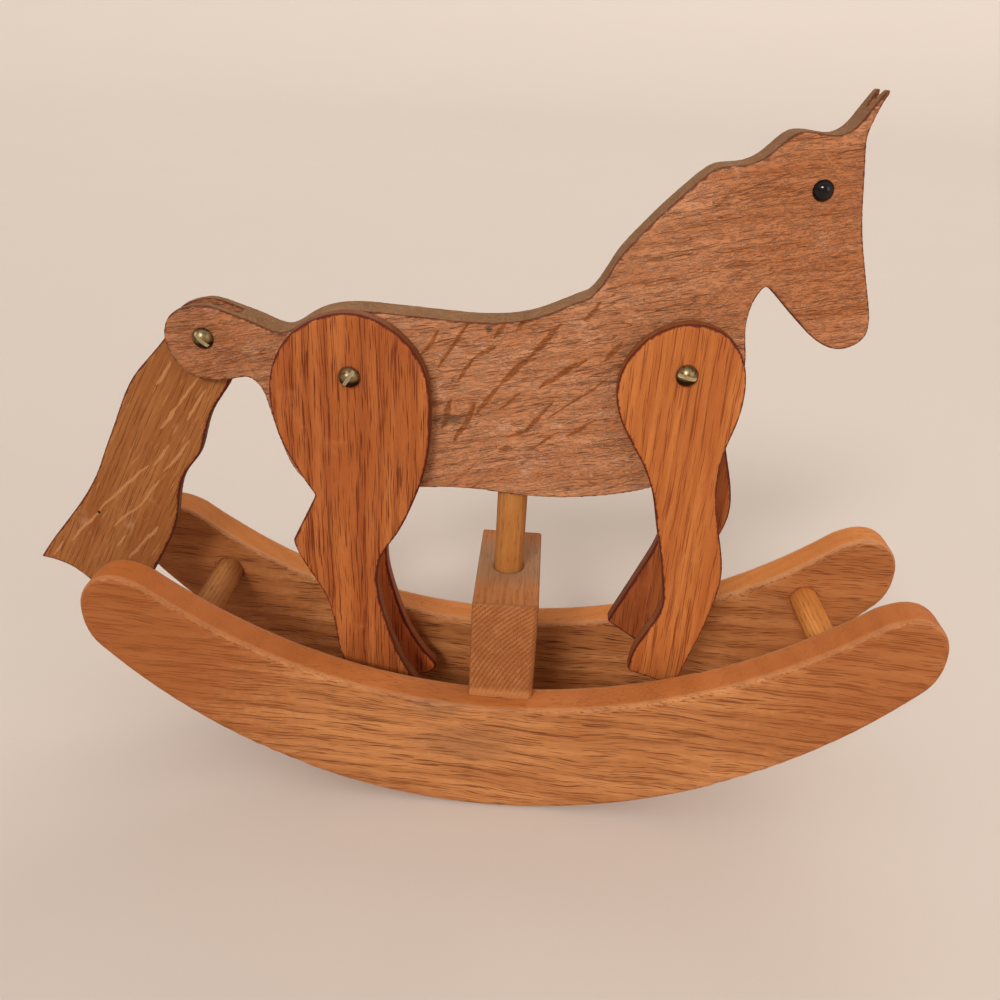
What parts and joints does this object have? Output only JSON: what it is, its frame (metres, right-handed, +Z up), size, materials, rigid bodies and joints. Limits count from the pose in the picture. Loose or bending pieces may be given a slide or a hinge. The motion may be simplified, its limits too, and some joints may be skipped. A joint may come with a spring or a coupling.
{
  "type": "wooden rocking horse",
  "caption": "Small oak rocking horse: a flat board body on a dowel post and block over curved rockers, with legs and tail that swing on brass screws.",
  "frame": {"origin": "on the floor, midway between the two rockers, where their curved bottoms touch it at rest", "axes": "+X towards the horse's head, +Y to the horse's left, +Z up"},
  "size_m": [0.388, 0.081, 0.2995],
  "materials": {
    "body_oak": "bare saw-textured red oak, oiled",
    "hind_leg_oak": "oiled orange-red oak, grain up the leg",
    "fore_leg_oak": "oiled orange oak, grain up the leg",
    "tail_oak": "oiled white oak with ray flecks",
    "right_rocker_oak": "oiled flat-sawn red oak, grain along the rocker",
    "left_rocker_oak": "oiled flat-sawn red oak, darker board",
    "block_oak": "oiled red oak, end grain to the sides",
    "dowel_oak": "pale oak dowel",
    "screw_brass": "aged brass",
    "eye_black": "glossy black bead"
  },
  "bodies": {
    "horse": {"horse_body": "body_oak", "center_post": "dowel_oak", "center_block": "block_oak", "right_block_pin": "dowel_oak", "left_block_pin": "dowel_oak", "right_rocker": "right_rocker_oak", "left_rocker": "left_rocker_oak", "rear_stretcher": "dowel_oak", "front_stretcher": "dowel_oak", "right_eye": "eye_black", "left_eye": "eye_black", "right_hind_screw": "screw_brass", "left_hind_screw": "screw_brass", "right_fore_screw": "screw_brass", "left_fore_screw": "screw_brass", "tail_screw": "screw_brass"},
    "hind_leg_right": {"right_hind_leg": "hind_leg_oak"},
    "hind_leg_left": {"left_hind_leg": "hind_leg_oak"},
    "fore_leg_right": {"right_fore_leg": "fore_leg_oak"},
    "fore_leg_left": {"left_fore_leg": "fore_leg_oak"},
    "tail_body": {"tail": "tail_oak"}
  },
  "joints": [
    {"name": "right_hind_swing", "type": "hinge", "parent": "horse", "child": "hind_leg_right", "pos_m": [-0.0637, 0, 0.191], "axis": [0, 1, 0], "range_deg": [-9, 24]},
    {"name": "left_hind_swing", "type": "hinge", "parent": "horse", "child": "hind_leg_left", "pos_m": [-0.0637, 0, 0.191], "axis": [0, 1, 0], "range_deg": [-9, 24]},
    {"name": "right_fore_swing", "type": "hinge", "parent": "horse", "child": "fore_leg_right", "pos_m": [0.0638, 0, 0.1998], "axis": [0, 1, 0], "range_deg": [-22, 16]},
    {"name": "left_fore_swing", "type": "hinge", "parent": "horse", "child": "fore_leg_left", "pos_m": [0.0638, 0, 0.1998], "axis": [0, 1, 0], "range_deg": [-24, 13]},
    {"name": "tail_swing", "type": "hinge", "parent": "horse", "child": "tail_body", "pos_m": [-0.1221, 0, 0.2004], "axis": [0, 1, 0], "range_deg": [-9, 75]}
  ]
}
